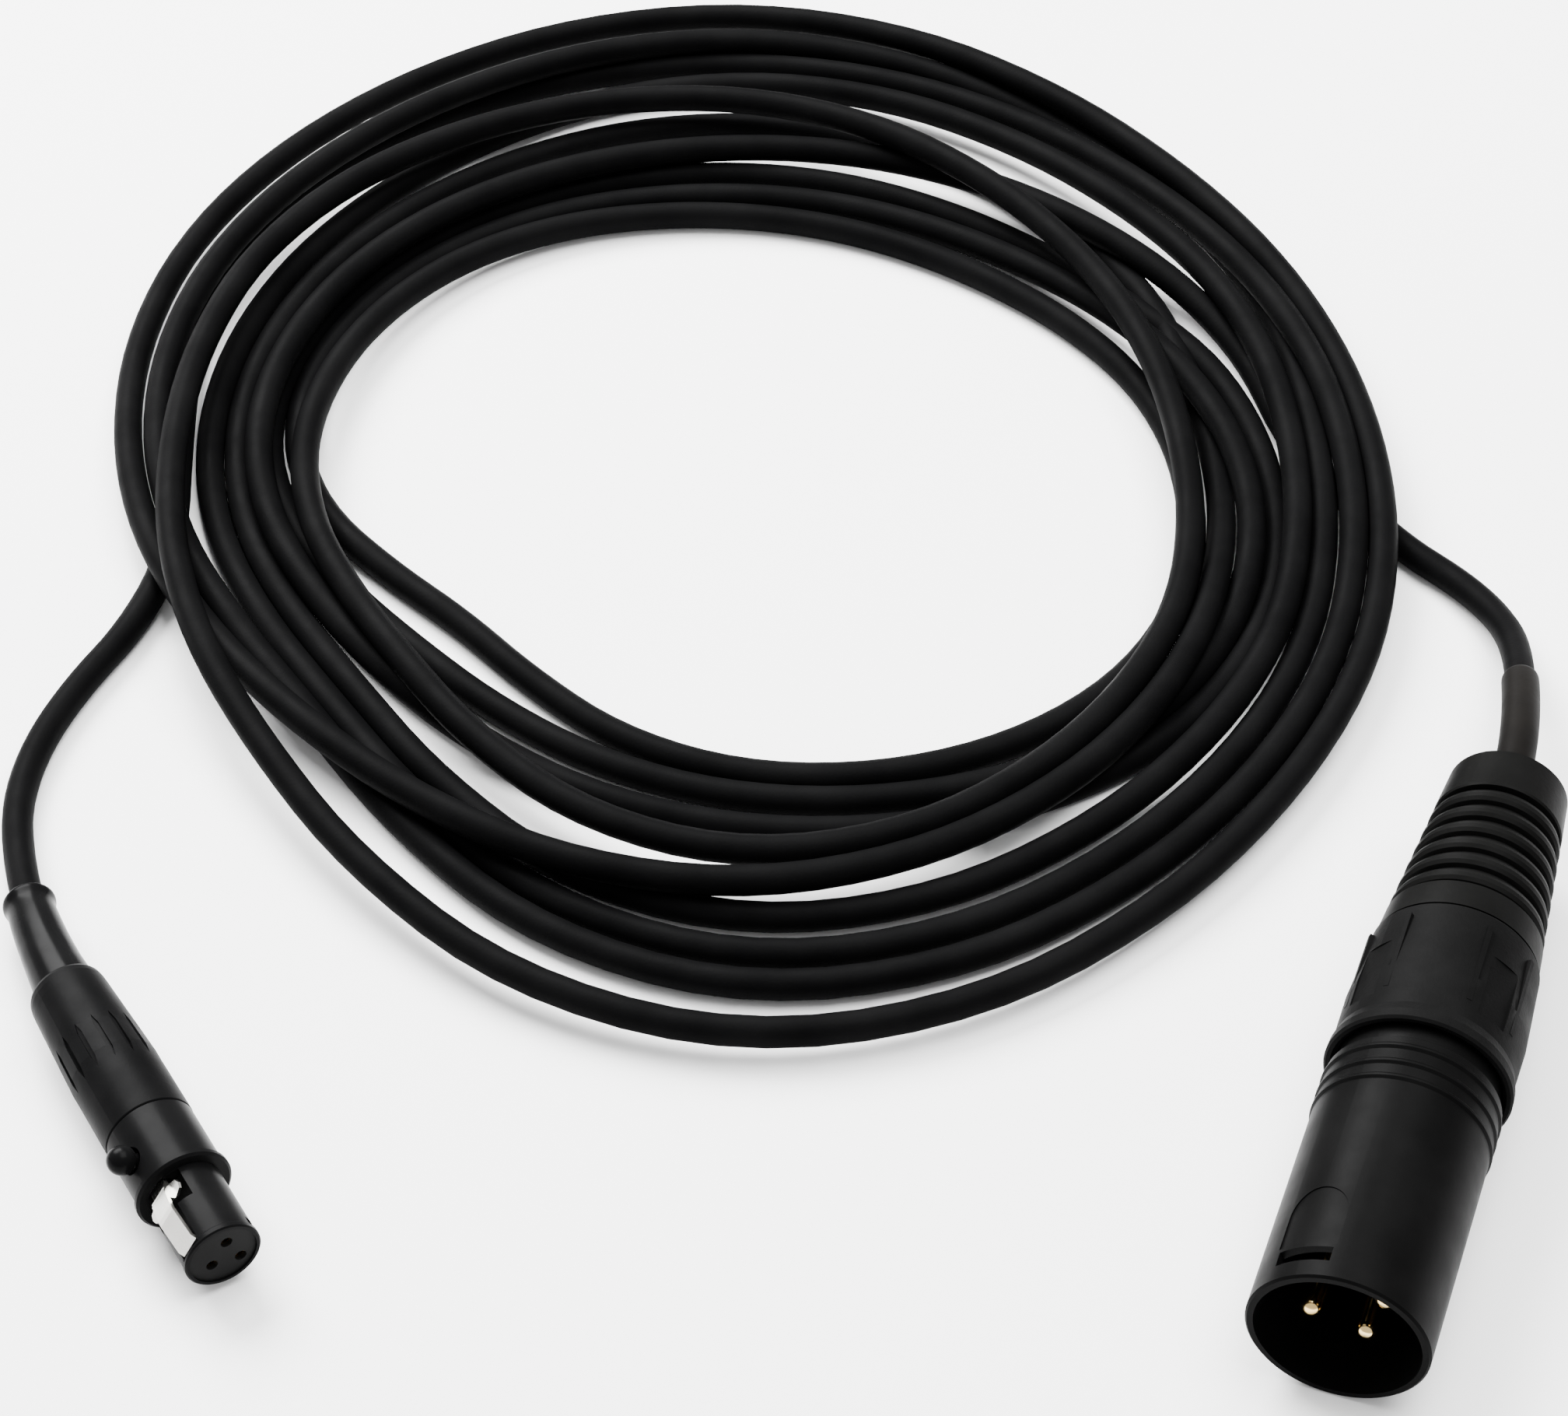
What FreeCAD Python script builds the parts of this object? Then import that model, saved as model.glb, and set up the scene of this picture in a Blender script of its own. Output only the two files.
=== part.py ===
"""Loosely coiled microphone cable: a latching mini XLR socket plug on one end, a full-size XLR pin plug on the other.

Each plug is drawn along its own X axis, from the mating face backwards, and is then laid on the table by one
placement. Local +Z of a plug points to its key: the latch on the small plug, the catch window on the large one.
"""
import FreeCAD, Part
import math
import os
import Sketcher

# ---------------------------------------------------------------- driving dimensions (mm, degrees)
DIMS = {
    # where the plugs lie: mating-face centre, heading in plan, upward tilt and roll about the plug's own axis
    "pin_plug_x": 55.25, "pin_plug_y": -123.3, "pin_plug_z": 9.53,
    "pin_plug_yaw": 69.7, "pin_plug_tilt": 1.1, "pin_plug_roll": -33.0,
    "mini_x": -57.5, "mini_y": -109.73, "mini_z": 5.42,
    "mini_yaw": 120.3, "mini_tilt": 0.0, "mini_roll": -53.0,
    # cable
    "cable_radius": 1.85, "wire_radius": 0.55, "wire_spread": 0.95,
    # large plug: shell
    "shell_radius": 9.5, "cavity_radius": 8.6, "shell_rear": 46.0, "rim_round": 0.25,
    "ridge_height": 0.22, "ridge_half": 0.45, "ridge_a": 27.2, "ridge_b": 29.3, "ridge_c": 31.5,
    "collar_end": 33.0, "thread_radius": 8.8, "rear_bore": 8.0, "step_at": 27.4,
    "window_front": 2.15, "window_rear": 3.9, "window_half": 3.05,
    "panel_front": 4.35, "panel_straight": 8.6, "panel_half": 3.3, "panel_floor": 9.38,
    # large plug: contacts
    "insert_front": 16.0, "pin_circle": 4.3, "pin_radius": 1.2, "pin_tip": 3.8, "pin_rear": 31.4,
    "cup_bore": 0.85, "cup_depth": 3.4, "pin_tip_round": 1.1,
    "ground_width": 2.4, "ground_depth": 0.8, "ground_sheet": 0.3, "ground_front": 12.5, "ground_rear": 29.5,
    # large plug: cable chuck, threaded bushing, boot, sleeve
    "chuck_front": 32.0, "chuck_ring": 7.7, "chuck_ring_end": 36.0, "chuck_hollow": 6.2, "chuck_waist": 6.9,
    "chuck_taper_at": 44.0, "chuck_rear": 50.0, "chuck_rear_radius": 5.2, "jaw_bore": 2.45, "jaw_half": 0.5,
    "bushing_front": 34.9, "bushing_rear": 53.2, "rim_radius": 10.2, "rim_length": 1.4, "waist_radius": 9.85,
    "bushing_rear_radius": 9.35, "bushing_bore": 9.0, "bushing_bore_end": 47.5, "bushing_neck": 6.4,
    "grip_front": 39.2, "grip_rear": 47.5, "grip_half": 1.9, "grip_floor": 9.5, "grip_count": 4,
    "tongue_half": 0.7, "tongue_height": 0.4, "first_grip": 20.0,
    "rib_front": 40.0, "rib_rear": 51.0, "rib_half_turn": 18.5, "rib_half": 0.3, "rib_top": 9.93,
    "boot_rear": 80.6, "boot_front_radius": 9.15, "boot_band_end": 56.9, "boot_rear_radius": 6.85,
    "boot_bore": 3.1, "boot_plug": 50.9, "boot_ribs": 6, "boot_first_rib": 58.3, "boot_rib_pitch": 2.8,
    "boot_collar": 74.4, "sleeve_radius": 2.25,
    # small plug: nose, flange and barrel
    "nose_radius": 4.13, "nose_lip": 0.12, "nose_bore": 3.75, "nose_rear": 12.8,
    "flange_front": 9.8, "flange_rear": 10.6, "flange_radius": 5.4,
    "barrel_radius": 5.0, "barrel_rear": 18.7, "neck_radius": 4.5, "neck_bore": 3.9,
    "neck_rear": 25.0, "slot_front": 0.4, "slot_half": 1.55, "slot_wide_from": 5.9, "slot_wide_half": 3.1,
    # small plug: insert and sockets
    "mini_insert_front": 0.25, "mini_insert_rear": 13.2, "socket_circle": 1.85, "socket_radius": 0.75,
    "socket_bore": 0.5, "socket_mouth": 0.65, "socket_front": 0.8, "socket_rear": 16.6, "socket_shift": 0.5,
    "channel_floor": 2.0,
    "keyway_half": 0.65, "keyway_rear": 1.9, "keyway_depth": 0.18,
    # small plug: latch and button
    "latch_half": 1.3, "latch_sheet": 0.35, "latch_low": 3.1, "latch_step": 8.3, "latch_crest": 5.6,
    "latch_crest_top": 4.6, "latch_front": 0.95, "tooth_top": 4.25, "tooth_foot": 3.35,
    "pivot_at": 22.5, "pivot_z": 2.8,
    "ear_at": 7.9, "ear_reach": 2.75, "ear_half": 0.95, "ear_low": 3.15,
    "knuckle_radius": 0.75, "knuckle_bore": 0.46, "pivot_pin_radius": 0.42,
    "button_at": 14.0, "button_radius": 1.62, "button_z": 6.1, "button_stem": 0.9, "button_hole": 1.5,
    "button_foot": 3.5,
    # small plug: clamp, liner, backshell, flex relief
    "clamp_rear": 30.9, "clamp_radius": 2.45, "clamp_disc": 4.15, "clamp_disc_rear": 25.7,
    "liner_front": 26.1, "liner_rear": 33.9, "liner_radius": 4.05, "liner_bore": 3.75,
    "backshell_front": 18.85, "backshell_rear": 42.3, "backshell_radius": 5.05, "backshell_rear_radius": 4.4,
    "backshell_thread": 4.65, "backshell_thread_end": 25.9, "backshell_bore": 4.2, "backshell_taper_at": 30.5,
    "backshell_lip": 3.9,
    "groove_front": 26.6, "groove_rear": 33.6, "groove_half": 0.28, "groove_floor": 4.62, "groove_count": 15,
    "relief_front": 31.5, "relief_flange": 3.7, "relief_flange_rear": 33.1, "relief_neck": 3.62,
    "relief_lip": 3.05, "relief_lip_length": 0.8,
    # coil
    "coil_x": -4.35, "coil_y": 21.7, "coil_shoulder": 4.5,
}

doc = FreeCAD.newDocument("cable_coil")
sheet = doc.addObject("Spreadsheet::Sheet", "Dims")
for row, (alias, number) in enumerate(DIMS.items(), start=1):
    sheet.set("A%d" % row, alias)
    sheet.set("B%d" % row, str(number))
    sheet.setAlias("B%d" % row, alias)
doc.recompute()

ORIGIN = FreeCAD.Vector(0, 0, 0)
ALONG = FreeCAD.Vector(1, 0, 0)
ACROSS = FreeCAD.Vector(0, 1, 0)
UP = FreeCAD.Vector(0, 0, 1)


def split_sum(words):
    """The signed terms of a sum of dimension names and plain numbers, such as 'boot_rear - rim_length'."""
    sign = 1
    for word in str(words).split():
        if word in "+-":
            sign = 1 if word == "+" else -1
        else:
            yield sign, word
            sign = 1


def value(words):
    """The number that a sum of dimension names stands for."""
    return sum(sign * (DIMS[word] if word in DIMS else float(word)) for sign, word in split_sum(words))


def formula(words):
    """The same sum as a spreadsheet expression."""
    terms = ""
    for sign, word in split_sum(words):
        terms += (" + " if sign > 0 else " - ") + ("Dims." + word if word in DIMS else word)
    return terms[3:] if terms.startswith(" + ") else "0 " + terms


def plug_placement(plug):
    """Where a plug's own frame lies on the table."""
    turn = FreeCAD.Rotation(UP, DIMS[plug + "_yaw"])
    turn = turn.multiply(FreeCAD.Rotation(ACROSS, -DIMS[plug + "_tilt"]))
    turn = turn.multiply(FreeCAD.Rotation(ALONG, DIMS[plug + "_roll"]))
    base = FreeCAD.Vector(DIMS[plug + "_x"], DIMS[plug + "_y"], DIMS[plug + "_z"])
    return FreeCAD.Placement(base, turn)


PLACES = {"pin_plug": plug_placement("pin_plug"), "mini": plug_placement("mini")}
finished = []


def finish(feature, label, place=None):
    """Names a sub-part, lays it in its plug's frame and puts it on the list of parts to write."""
    feature.Label = label
    if place is not None:
        feature.Placement = PLACES[place].multiply(feature.Placement)
    finished.append(feature)
    return feature


# ---------------------------------------------------------------- sketch helpers
def new_body(name):
    return doc.addObject("PartDesign::Body", name)


def origin_part(body, role):
    for feature in body.Origin.OriginFeatures:
        if feature.Role == role:
            return feature
    raise ValueError(role)


def new_sketch(body, role, offset="0"):
    """A sketch on one of the body's own origin planes, moved out along the plane's normal by offset."""
    sketch = body.newObject("Sketcher::SketchObject", body.Name + "_sketch")
    sketch.AttachmentSupport = [(origin_part(body, role), "")]
    sketch.MapMode = "FlatFace"
    sketch.setExpression("AttachmentOffset.Base.z", formula(offset))
    return sketch


def draw_outline(sketch, corners):
    """A closed outline of straight edges whose corners are placed by dimension sums."""
    points = [FreeCAD.Vector(value(across), value(upward), 0) for across, upward in corners]
    first = sketch.GeometryCount
    count = len(points)
    for index in range(count):
        sketch.addGeometry(Part.LineSegment(points[index], points[(index + 1) % count]), False)
    for index in range(count):
        edge = first + index
        following = first + (index + 1) % count
        sketch.addConstraint(Sketcher.Constraint("Coincident", edge, 2, following, 1))
    for index, (across, upward) in enumerate(corners):
        edge = first + index
        for kind, words, number in (("DistanceX", across, points[index].x), ("DistanceY", upward, points[index].y)):
            place = sketch.addConstraint(Sketcher.Constraint(kind, -1, 1, edge, 1, number))
            sketch.setExpression("Constraints[%d]" % place, formula(words))


def draw_circle(sketch, across, upward, radius):
    """A circle whose centre and radius are dimension sums."""
    centre = FreeCAD.Vector(value(across), value(upward), 0)
    edge = sketch.addGeometry(Part.Circle(centre, UP, value(radius)), False)
    for kind, words, number in (("DistanceX", across, centre.x), ("DistanceY", upward, centre.y)):
        place = sketch.addConstraint(Sketcher.Constraint(kind, -1, 1, edge, 3, number))
        sketch.setExpression("Constraints[%d]" % place, formula(words))
    place = sketch.addConstraint(Sketcher.Constraint("Radius", edge, value(radius)))
    sketch.setExpression("Constraints[%d]" % place, formula(radius))


def revolve(body, corners):
    """Turns an outline of (along, radius) corners about the body's X axis."""
    sketch = new_sketch(body, "XZ_Plane")
    draw_outline(sketch, corners)
    turned = body.newObject("PartDesign::Revolution", body.Name + "_turned")
    turned.Profile = sketch
    turned.ReferenceAxis = (sketch, ["H_Axis"])
    turned.Angle = 360
    doc.recompute()
    return turned


def pocket_up(body, floor, corners=None, circle=None, depth="20"):
    """Cuts an outline in plan out of everything above the height floor."""
    sketch = new_sketch(body, "XY_Plane", floor)
    if corners:
        draw_outline(sketch, corners)
    if circle:
        draw_circle(sketch, *circle)
    before = body.Shape.Volume
    pocket = body.newObject("PartDesign::Pocket", body.Name + "_pocket")
    pocket.Profile = sketch
    pocket.Reversed = True
    pocket.setExpression("Length", formula(depth))
    doc.recompute()
    if not body.Shape.Volume < before:
        raise RuntimeError("%s: a pocket cut nothing" % body.Name)
    return pocket


def repeat_round(body, feature, count, turn=360.0):
    """Repeats a feature round the body's X axis."""
    pattern = body.newObject("PartDesign::PolarPattern", body.Name + "_ring")
    pattern.Originals = [feature]
    pattern.Axis = (origin_part(body, "X_Axis"), [""])
    pattern.Angle = turn
    pattern.Occurrences = count
    body.Tip = pattern
    doc.recompute()
    return pattern


def edges_near(shape, along, radius):
    """Names of the circular edges of a radius at a place along the X axis."""
    names = []
    for number, edge in enumerate(shape.Edges, start=1):
        if not hasattr(edge.Curve, "Radius"):
            continue
        if abs(edge.Curve.Radius - radius) < 0.01 and abs(edge.Curve.Center.x - along) < 0.01:
            names.append("Edge%d" % number)
    return names


def round_edge(body, along, radius, size):
    """Rounds the circular edge at a place along the axis."""
    base = body.Tip
    names = edges_near(base.Shape, value(along), value(radius))
    if not names:
        raise RuntimeError("%s: no edge at %s" % (body.Name, along))
    rounding = body.newObject("PartDesign::Fillet", body.Name + "_round")
    rounding.Base = (base, names)
    rounding.setExpression("Radius", formula(size))
    doc.recompute()
    return rounding


def rectangle(front, rear, low, high):
    return [(front, low), (rear, low), (rear, high), (front, high)]


def on_circle(radius, angle):
    """A place across a plug: angle is counted from local +Z towards local +Y."""
    return FreeCAD.Vector(0, radius * math.sin(math.radians(angle)), radius * math.cos(math.radians(angle)))


# ---------------------------------------------------------------- large plug
def pin_plug_shell():
    """Metal sleeve with its catch window, arched thumb panel, raised rings and rear thread."""
    body = new_body("ShellTurned")
    outline = [("0", "cavity_radius"), ("0", "shell_radius - rim_round"), ("rim_round", "shell_radius")]
    for ridge in ("ridge_a", "ridge_b", "ridge_c"):
        outline += [
            (ridge + " - ridge_half", "shell_radius"),
            (ridge + " - 0.12", "shell_radius + ridge_height"),
            (ridge + " + 0.12", "shell_radius + ridge_height"),
            (ridge + " + ridge_half", "shell_radius"),
        ]
    outline += [
        ("collar_end - rim_round", "shell_radius"),
        ("collar_end", "shell_radius - rim_round"),
        ("collar_end", "thread_radius"),
        ("shell_rear", "thread_radius"),
        ("shell_rear", "rear_bore"),
        ("step_at", "rear_bore"),
        ("step_at", "cavity_radius"),
    ]
    revolve(body, outline)
    pocket_up(body, "0", rectangle("window_front", "window_rear", "0 - window_half", "window_half"))
    band = doc.addObject("Part::Cylinder", "PanelBand")
    band.Radius = DIMS["shell_radius"] + 1
    band.Height = DIMS["panel_straight"] + DIMS["panel_half"]
    core = doc.addObject("Part::Cylinder", "PanelFloor")
    core.setExpression("Radius", "Dims.panel_floor")
    core.Height = band.Height
    turn = FreeCAD.Placement(FreeCAD.Vector(1, 0, 0), FreeCAD.Rotation(ACROSS, 90))
    band.Placement = turn
    core.Placement = turn
    skin = doc.addObject("Part::Cut", "PanelSkin")
    skin.Base = band
    skin.Tool = core
    arch_block = doc.addObject("Part::Box", "PanelBlock")
    arch_block.setExpression("Length", "Dims.panel_straight - Dims.panel_front")
    arch_block.setExpression("Width", "2 * Dims.panel_half")
    arch_block.Height = 20
    arch_block.setExpression("Placement.Base.x", "Dims.panel_front")
    arch_block.setExpression("Placement.Base.y", "-Dims.panel_half")
    arch_head = doc.addObject("Part::Cylinder", "PanelHead")
    arch_head.setExpression("Radius", "Dims.panel_half")
    arch_head.Height = 20
    arch_head.setExpression("Placement.Base.x", "Dims.panel_straight")
    arch = doc.addObject("Part::Fuse", "PanelArch")
    arch.Base = arch_block
    arch.Tool = arch_head
    recess = doc.addObject("Part::Common", "PanelRecess")
    recess.Base = skin
    recess.Tool = arch
    shell = doc.addObject("Part::Cut", "Shell")
    shell.Base = body
    shell.Tool = recess
    doc.recompute()
    finish(shell, "pin_plug_shell", "pin_plug")


def contact_places():
    """Angles from the key of the large plug's three contacts."""
    return (("1", -90), ("2", 90), ("3", 180))


def pin_plug_insert():
    """Insulating disc that holds the three pins, with a notch for the ground spring."""
    body = new_body("Insert")
    sketch = new_sketch(body, "YZ_Plane", "insert_front")
    draw_circle(sketch, "0", "0", "cavity_radius")
    draw_circle(sketch, "0 - pin_circle", "0", "pin_radius")
    draw_circle(sketch, "pin_circle", "0", "pin_radius")
    draw_circle(sketch, "0", "0 - pin_circle", "pin_radius")
    disc = body.newObject("PartDesign::Pad", "InsertDisc")
    disc.Profile = sketch
    disc.setExpression("Length", "Dims.step_at - Dims.insert_front")
    doc.recompute()
    pocket_up(body, "cavity_radius - ground_depth", rectangle("insert_front - 1", "step_at + 1", "0 - 1.3", "1.3"))
    finish(body, "pin_plug_insert", "pin_plug")


def pin_plug_contacts():
    """Three turned pins with rounded tips in front and solder cups behind."""
    for number, angle in contact_places():
        body = new_body("Pin" + number)
        revolve(body, [
            ("pin_tip", "0"), ("pin_tip", "pin_radius"), ("pin_rear", "pin_radius"),
            ("pin_rear", "cup_bore"), ("pin_rear - cup_depth", "cup_bore"), ("pin_rear - cup_depth", "0"),
        ])
        round_edge(body, "pin_tip", "pin_radius", "pin_tip_round")
        body.Placement.Base = on_circle(DIMS["pin_circle"], angle)
        finish(body, "pin_plug_pin_" + number, "pin_plug")


def pin_plug_ground_spring():
    """Sheet spring in the insert's notch that earths the shell."""
    body = new_body("GroundSpring")
    sketch = new_sketch(body, "XZ_Plane")
    low = "cavity_radius - ground_depth"
    draw_outline(sketch, [
        ("ground_front", "cavity_radius - 0.35"), ("insert_front - 1.2", "cavity_radius - 0.02"),
        ("insert_front", low + " + ground_sheet"), ("step_at + 0.3", low + " + ground_sheet"),
        ("ground_rear", "rear_bore - 0.8"), ("ground_rear", "rear_bore - 1.1"),
        ("step_at + 0.2", low), ("insert_front - 0.1", low),
        ("insert_front - 1.3", "cavity_radius - 0.34"), ("ground_front", "cavity_radius - 0.65"),
    ])
    strip = body.newObject("PartDesign::Pad", "GroundStrip")
    strip.Profile = sketch
    strip.setExpression("Length", "Dims.ground_width")
    strip.Midplane = True
    doc.recompute()
    finish(body, "pin_plug_ground_spring", "pin_plug")


def pin_plug_chuck():
    """Slotted collet that grips the cable sleeve when the bushing is tightened."""
    body = new_body("Chuck")
    revolve(body, [
        ("chuck_front", "chuck_hollow"), ("chuck_front", "chuck_ring"), ("chuck_ring_end", "chuck_ring"),
        ("chuck_ring_end", "chuck_waist"), ("chuck_taper_at", "chuck_waist"), ("chuck_rear", "chuck_rear_radius"),
        ("chuck_rear", "jaw_bore"), ("chuck_taper_at + 2", "jaw_bore"), ("chuck_taper_at - 1", "chuck_hollow"),
    ])
    slot = pocket_up(body, "0", rectangle("chuck_ring_end + 1.5", "chuck_rear + 1", "0 - jaw_half", "jaw_half"))
    repeat_round(body, slot, 4)
    finish(body, "pin_plug_chuck", "pin_plug")


def rib_section(turn):
    """Corners, across the plug, of a slim rib that stands on the bushing beside a grip pocket."""
    corners = []
    for radius, side in (("bushing_bore", -1), ("bushing_bore", 1), ("rib_top", 1), ("rib_top", -1)):
        reach = DIMS[radius] + (0.1 if radius == "bushing_bore" else 0.0)
        lean = turn + side * math.degrees(DIMS["rib_half"] / reach)
        place = on_circle(reach, lean)
        corners.append(("%.4f" % place.y, "%.4f" % place.z))
    return corners


def pin_plug_bushing():
    """Threaded rear nut with a flared front rim, grip pockets and slim ribs."""
    body = new_body("Bushing")
    revolve(body, [
        ("bushing_front", "bushing_bore + 0.5"), ("bushing_front", "rim_radius - rim_round"),
        ("bushing_front + 0.3", "rim_radius"), ("bushing_front + rim_length", "rim_radius - 0.05"),
        ("bushing_front + 2.6", "waist_radius"), ("grip_front + 4", "waist_radius + 0.08"),
        ("bushing_rear - 0.5", "bushing_rear_radius"), ("bushing_rear", "bushing_rear_radius - 0.4"),
        ("bushing_rear", "bushing_neck"), ("bushing_bore_end + 4.5", "bushing_neck"),
        ("bushing_bore_end + 1.2", "bushing_neck + 0.9"), ("bushing_bore_end", "bushing_bore"),
        ("bushing_front + 0.5", "bushing_bore"),
    ])
    grip = pocket_up(body, "grip_floor", rectangle("grip_front", "grip_rear", "0 - grip_half", "grip_half"))
    repeat_round(body, grip, int(DIMS["grip_count"]))
    sketch = new_sketch(body, "XY_Plane", "bushing_bore + 0.1")
    draw_outline(sketch, rectangle("grip_front + 0.8", "grip_rear - 0.8", "0 - tongue_half", "tongue_half"))
    tongue = body.newObject("PartDesign::Pad", "GripTongue")
    tongue.Profile = sketch
    tongue.setExpression("Length", "Dims.tongue_height")
    doc.recompute()
    repeat_round(body, tongue, int(DIMS["grip_count"]))
    for turn in (-DIMS["rib_half_turn"], DIMS["rib_half_turn"]):
        sketch = new_sketch(body, "YZ_Plane", "rib_front")
        draw_outline(sketch, rib_section(turn))
        rib = body.newObject("PartDesign::Pad", "SlimRib")
        rib.Profile = sketch
        rib.setExpression("Length", "Dims.rib_rear - Dims.rib_front")
        doc.recompute()
        repeat_round(body, rib, int(DIMS["grip_count"]))
    body.Placement.Rotation = FreeCAD.Rotation(ALONG, -DIMS["first_grip"])
    finish(body, "pin_plug_bushing", "pin_plug")


def pin_plug_boot():
    """Ribbed rubber boot that stops the cable kinking behind the bushing."""
    body = new_body("Boot")
    start, end = DIMS["bushing_rear"], DIMS["boot_rear"]
    slope = (DIMS["boot_rear_radius"] - DIMS["boot_front_radius"]) / (end - start)

    def skin(along, sunk=0.0):
        return "boot_front_radius + %.3f" % (slope * (along - start) - sunk)

    outline = [("bushing_rear", "boot_front_radius"), ("boot_band_end", skin(DIMS["boot_band_end"]))]
    for rib in range(int(DIMS["boot_ribs"])):
        middle = DIMS["boot_first_rib"] + rib * DIMS["boot_rib_pitch"] + 0.15
        for step, sunk in ((-1.15, 0.85), (-0.95, 0.3), (-0.5, 0.03), (0.1, 0.0), (0.65, 0.15), (0.95, 0.85)):
            outline.append(("boot_first_rib + %.3f" % (middle + step - DIMS["boot_first_rib"]),
                            skin(middle + step, sunk)))
    outline += [
        ("boot_collar - 0.45", skin(DIMS["boot_collar"], 0.8)), ("boot_collar - 0.3", skin(DIMS["boot_collar"], 0.1)),
        ("boot_collar", skin(DIMS["boot_collar"])), ("boot_rear - 0.4", "boot_rear_radius"),
        ("boot_rear", "boot_rear_radius - 0.4"), ("boot_rear", "boot_bore"), ("boot_plug", "boot_bore"),
        ("boot_plug", "bushing_neck - 0.5"), ("bushing_rear", "bushing_neck - 0.05"),
    ]
    revolve(body, outline)
    finish(body, "pin_plug_boot", "pin_plug")


# ---------------------------------------------------------------- small plug
def mini_nose():
    """Thin metal nose tube with shallow keyways and the stepped slot that the latch works in."""
    body = new_body("Nose")
    revolve(body, [
        ("0", "nose_bore"), ("0", "nose_radius - 0.05"), ("0.15", "nose_radius + nose_lip"),
        ("0.65", "nose_radius + nose_lip"), ("0.8", "nose_radius"),
        ("nose_rear", "nose_radius"), ("nose_rear", "nose_bore"),
    ])
    keyway = pocket_up(body, "nose_radius - keyway_depth",
                       rectangle("0.8", "keyway_rear", "0 - keyway_half", "keyway_half"))
    repeat_round(body, keyway, 3)
    pocket_up(body, "0", [
        ("slot_front", "0 - slot_half"), ("slot_wide_from", "0 - slot_half"), ("slot_wide_from", "0 - slot_wide_half"),
        ("flange_front - 0.1", "0 - slot_wide_half"), ("flange_front - 0.1", "0 - slot_half"),
        ("nose_rear + 1", "0 - slot_half"), ("nose_rear + 1", "slot_half"), ("flange_front - 0.1", "slot_half"),
        ("flange_front - 0.1", "slot_wide_half"), ("slot_wide_from", "slot_wide_half"),
        ("slot_wide_from", "slot_half"), ("slot_front", "slot_half"),
    ])
    finish(body, "mini_nose", "mini")


def mini_barrel():
    """Flanged barrel with the button's hole and the threaded neck for the backshell."""
    body = new_body("Barrel")
    revolve(body, [
        ("flange_front", "nose_radius"), ("flange_front", "flange_radius - 0.3"),
        ("flange_front + 0.25", "flange_radius"), ("flange_rear - 0.1", "flange_radius"),
        ("flange_rear + 0.2", "barrel_radius"), ("barrel_rear", "barrel_radius"), ("barrel_rear", "neck_radius"),
        ("neck_rear", "neck_radius"), ("neck_rear", "neck_bore"), ("nose_rear + 0.1", "neck_bore"),
        ("nose_rear + 0.1", "nose_radius"),
    ])
    pocket_up(body, "0", circle=("button_at", "0", "button_hole"))
    finish(body, "mini_barrel", "mini")


def socket_places():
    """Angles from the key of the small plug's three sockets."""
    return (("1", -60), ("2", 60), ("3", 180))


def socket_place(angle):
    """The middle of a socket; the ring of sockets sits a little away from the key."""
    return on_circle(DIMS["socket_circle"], angle) - UP * DIMS["socket_shift"]


def mini_insert():
    """Insulator with three contact holes and the channel that the latch drops into."""
    body = new_body("MiniInsert")
    revolve(body, [
        ("mini_insert_front", "0"), ("mini_insert_front", "nose_bore"),
        ("mini_insert_rear", "nose_bore"), ("mini_insert_rear", "0"),
    ])
    for number, angle in socket_places():
        place = socket_place(angle)
        sketch = new_sketch(body, "YZ_Plane")
        draw_circle(sketch, "%.4f" % place.y, "%.4f" % place.z, "socket_mouth")
        mouth = body.newObject("PartDesign::Pocket", "Mouth" + number)
        mouth.Profile = sketch
        mouth.Reversed = True
        mouth.setExpression("Length", "Dims.socket_front")
        sketch = new_sketch(body, "YZ_Plane", "socket_front")
        draw_circle(sketch, "%.4f" % place.y, "%.4f" % place.z, "socket_radius")
        hole = body.newObject("PartDesign::Pocket", "SocketHole" + number)
        hole.Profile = sketch
        hole.Reversed = True
        hole.Length = 20
    doc.recompute()
    pocket_up(body, "channel_floor", rectangle("mini_insert_front + 0.5", "mini_insert_rear + 1", "0 - 1.6", "1.6"))
    pocket_up(body, "channel_floor", rectangle("slot_wide_from", "flange_front", "0 - slot_wide_half", "slot_wide_half"))
    finish(body, "mini_insert", "mini")


def mini_contacts():
    """Three gold sockets, bored in front and with solder cups behind."""
    for number, angle in socket_places():
        body = new_body("Socket" + number)
        revolve(body, [
            ("socket_front", "socket_bore"), ("socket_front", "socket_radius"), ("socket_rear", "socket_radius"),
            ("socket_rear", "socket_bore"), ("socket_rear - 2.4", "socket_bore"), ("socket_rear - 2.4", "0"),
            ("socket_front + 6.5", "0"), ("socket_front + 6.5", "socket_bore"),
        ])
        body.Placement.Base = socket_place(angle)
        finish(body, "mini_socket_" + number, "mini")


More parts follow.
